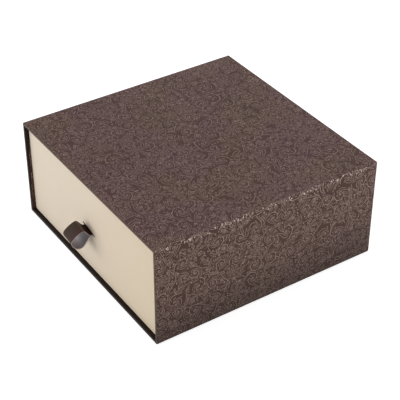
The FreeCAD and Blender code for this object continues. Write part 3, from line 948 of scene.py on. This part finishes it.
def add_leg(side, order):
    """A glued end, and its bend into the slit; side is 1 above the slit and -1 below it."""
    hold = RIBBON_BEND * 0.55  # makes the bend a quarter circle
    steps = [
        ((LEG_LEVEL, side * RIBBON_LEG), (0, 0), (0, 0)),
        ((LEG_LEVEL, side * (RUN_LEVEL + RIBBON_BEND)), (0, 0), (0, -side * hold)),
        ((LEG_LEVEL + RIBBON_BEND, side * RUN_LEVEL), (-hold, 0), (SLIT_HOLD, 0)),
    ]
    for place, outer, inner in steps[::order]:
        add_knot(place, *(outer, inner)[::order])


add_leg(1, 1)
add_knot((0, TOP_RUN_AT_SLIT), before=(-SLIT_HOLD, 0), after=(4.2 * MM, 0))
add_knot(CREASE, before=(-4.1 * MM, -3.0 * MM), after=(3.7 * MM, 0.5 * MM))
add_knot(FRONT_FOLD, before=(0.4 * MM, 2.4 * MM), after=(-0.6 * MM, -4.1 * MM))
add_knot(LOWEST, before=(4.7 * MM, 0), after=(-4.1 * MM, 0))
add_knot((0, LOW_RUN_AT_SLIT), before=(4.3 * MM, 0), after=(-SLIT_HOLD, 0))
add_leg(-1, -1)

bpy.ops.object.select_all(action="DESELECT")
bpy.ops.curve.primitive_bezier_curve_add(location=(0, 0, 0))
guide = bpy.context.object
guide.data.dimensions = "2D"
guide.data.resolution_u = 24
points = guide.data.splines[0].bezier_points
points.add(len(knots) - len(points))
for point, (place, before, after) in zip(points, knots):
    point.handle_left_type = "FREE"
    point.handle_right_type = "FREE"
    point.co = (*place, 0)
    point.handle_left = (place[0] + before[0], place[1] + before[1], 0)
    point.handle_right = (place[0] + after[0], place[1] + after[1], 0)
guide_mesh = bpy.data.meshes.new_from_object(guide)
line = [point.co.copy() for point in guide_mesh.vertices]
bpy.data.objects.remove(guide)
distances = [0.0]
for first, second in zip(line, line[1:]):
    distances.append(distances[-1] + (second - first).length)
ribbon_length = distances[-1]
crease_at = min(zip(line, distances), key=lambda spot: math.dist(spot[0][:2], CREASE))[1]
# The outside's right half is a painted sheen, its crease a painted highlight, by the slit painted shade.
satin_outside = satin_finish(
    "satin_outside",
    gloss=0.1,
    roughness=0.6,
    low=colour(50, 40, 30),
    high=colour(77, 63, 53),
    right=colour(70, 46, 50),
    edge=colour(62, 46, 44),
    crease=colour(142, 121, 112),
    slit_shade=colour(44, 22, 18),
    slit_from=23.0,
)
# The inside is the same satin, painted pale grey as a painted sheen. Its right half, crease and the part by
# the slit are painted shade, and its woven edges carry a painted highlight.
satin_inside_painted_sheen = satin_finish(
    "satin_inside_painted_sheen",
    gloss=0.3,
    roughness=0.45,
    low=colour(162, 155, 158),
    high=colour(198, 191, 195),
    right=colour(90, 87, 88),
    edge=colour(214, 197, 204),
    crease=colour(150, 146, 148),
    slit_shade=colour(100, 94, 94),
    slit_from=16.0,
)


def on_line(distance):
    """The point of the ribbon's line at a distance along it, and the way that its outer face looks."""
    after = next((at for at, far in enumerate(distances) if far > distance), len(line) - 1)
    first, second = line[after - 1], line[after]
    share = (distance - distances[after - 1]) / (distances[after] - distances[after - 1])
    step = (second - first).normalized()
    return first.lerp(second, min(1.0, share)), (-step.y, step.x)


ribbon = start_shape(
    "ribbon_loop",
    bpy.ops.mesh.primitive_grid_add,
    (RIBBON_WIDTH, ribbon_length, 1),
    (RIBBON_WIDTH / 2, ribbon_length / 2, 0),
    size=1,
    x_subdivisions=16,
    y_subdivisions=300,
)
bpy.ops.object.mode_set(mode="OBJECT")
lay_out(ribbon, lambda point: (point.x, point.y))


def lay_on_line(point):
    """Bends the flat ribbon to its line, a little hollow across, and sets it in the slanting slit."""
    hollow = 0.15 * MM
    ripple = 0.12 * MM
    ripple_step = 5.2 * MM
    free_from = 7.0 * MM
    across = point.x - RIBBON_WIDTH / 2
    middle, facing = on_line(max(0.0, min(point.y, ribbon_length)))
    free = max(0.0, min(1.0, middle.x / free_from))
    side = across / (RIBBON_WIDTH / 2)
    lift = hollow * free * side**2 + ripple * free * side * math.sin(point.y / ripple_step)
    out = middle.x + facing[0] * lift
    up = middle.y + facing[1] * lift
    return (
        SLOT_MIDDLE[0] + across * math.cos(SLOT_SLANT) + up * math.sin(SLOT_SLANT),
        SLOT_MIDDLE[1] - out,
        SLOT_MIDDLE[2] + up * math.cos(SLOT_SLANT) - across * math.sin(SLOT_SLANT),
    )


for point in ribbon.data.vertices:
    point.co = lay_on_line(point.co)
ribbon.data.materials.append(satin_inside_painted_sheen)
ribbon.data.materials.append(satin_outside)
weave = ribbon.modifiers.new("thickness", "SOLIDIFY")
weave.thickness = RIBBON_THICKNESS
weave.offset = 0
weave.material_offset = 1
bpy.ops.object.modifier_apply(modifier=weave.name)
bpy.ops.object.shade_smooth_by_angle(angle=math.radians(50))
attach(ribbon, "drawer")
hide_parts("ribbon_pull")


# --- Table and light ---------------------------------------------------------------------------------
# A plain pale table that shows as white. The room gives most of the light, soft and even. A large low lamp
# stands to the front and left, a small one to the right and behind, and a weak violet one behind and above.


def seen_directly(tree):
    """1 for what the camera, a gloss or clear glass sees, 0 for light that falls on the object."""
    path = Shade(tree.nodes.new("ShaderNodeLightPath").outputs["Is Camera Ray"])
    gloss = path.other("Is Glossy Ray")
    return path.math("MAXIMUM", gloss).math("MAXIMUM", path.other("Is Transmission Ray"))


TABLE_SPAN = 6.0
TABLE_DROP = 0.2 * MM  # keeps it clear of the box's underside
TABLE_GREY = 0.62
TABLE_GLOW = 0.72  # added where the table is seen, so that it is white there
ROOM_LIGHT = 0.62  # the room as a light; where it is seen it is 1

bpy.ops.object.select_all(action="DESELECT")
bpy.ops.mesh.primitive_plane_add(size=TABLE_SPAN, location=(0, 0, -TABLE_DROP))
table = bpy.context.object
table.name = "table"
table_paint = bpy.data.materials.new("table")
table_paint.use_nodes = True
paint_shader = table_paint.node_tree.nodes["Principled BSDF"]
paint_shader.inputs["Base Color"].default_value = (TABLE_GREY, TABLE_GREY, TABLE_GREY, 1)
paint_shader.inputs["Roughness"].default_value = 0.9
paint_shader.inputs["Specular IOR Level"].default_value = 0.0
paint_shader.inputs["Emission Strength"].default_value = 1.0
(seen_directly(table_paint.node_tree) * TABLE_GLOW).feeds(paint_shader, "Emission Color")
table.data.materials.append(table_paint)

room = bpy.data.worlds.new("room")
bpy.context.scene.world = room
room.use_nodes = True
background = room.node_tree.nodes["Background"]
background.inputs["Color"].default_value = (1, 1, 1, 1)
room_level = seen_directly(room.node_tree) * (1 - ROOM_LIGHT) + ROOM_LIGHT
room.node_tree.links.new(room_level.socket, background.inputs["Strength"])

box_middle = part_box("sleeve_wrap")[0].lerp(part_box("sleeve_wrap")[1], 0.5)


def add_lamp(name, place, size, power, tint=(1, 1, 1)):
    """A round soft lamp that faces the box."""
    lamp = bpy.data.lights.new(name, "AREA")
    lamp.color = tint
    lamp.shape = "DISK"
    lamp.size = size
    lamp.energy = power
    holder = bpy.data.objects.new(name, lamp)
    bpy.context.scene.collection.objects.link(holder)
    holder.location = place
    holder.rotation_euler = (box_middle - holder.location).to_track_quat("-Z", "Y").to_euler()


add_lamp("window_lamp", (-0.75, -1.25, 0.12), size=2.2, power=22.4)
add_lamp("right_lamp", (0.9, 0.85, 0.15), size=0.8, power=6.8)
add_lamp("back_lamp", (-0.2, 1.1, 0.8), size=0.8, power=3.0, tint=(0.92, 0.86, 1.0))


# --- Camera ------------------------------------------------------------------------------------------
# A long lens, from the front right corner and above. AIM is the point that it looks at, near the middle of
# the box.

CAMERA_AZIMUTH = math.radians(56.47)
CAMERA_HEIGHT = math.radians(35.86)
CAMERA_DISTANCE = 0.9612
LENS = 108.97
AIM = (0.01285, -0.00469, 0.04)

camera_data = bpy.data.cameras.new("camera")
camera_data.lens = LENS
camera_data.sensor_width = 36
camera = bpy.data.objects.new("camera", camera_data)
bpy.context.scene.collection.objects.link(camera)
back = box_middle.copy()
back.x = math.sin(CAMERA_AZIMUTH) * math.cos(CAMERA_HEIGHT)
back.y = -math.cos(CAMERA_AZIMUTH) * math.cos(CAMERA_HEIGHT)
back.z = math.sin(CAMERA_HEIGHT)
camera.location = back * CAMERA_DISTANCE
camera.location.x += AIM[0]
camera.location.y += AIM[1]
camera.location.z += AIM[2]
camera.rotation_euler = (-back).to_track_quat("-Z", "Y").to_euler()
bpy.context.scene.camera = camera
bpy.context.scene.view_settings.view_transform = "Standard"
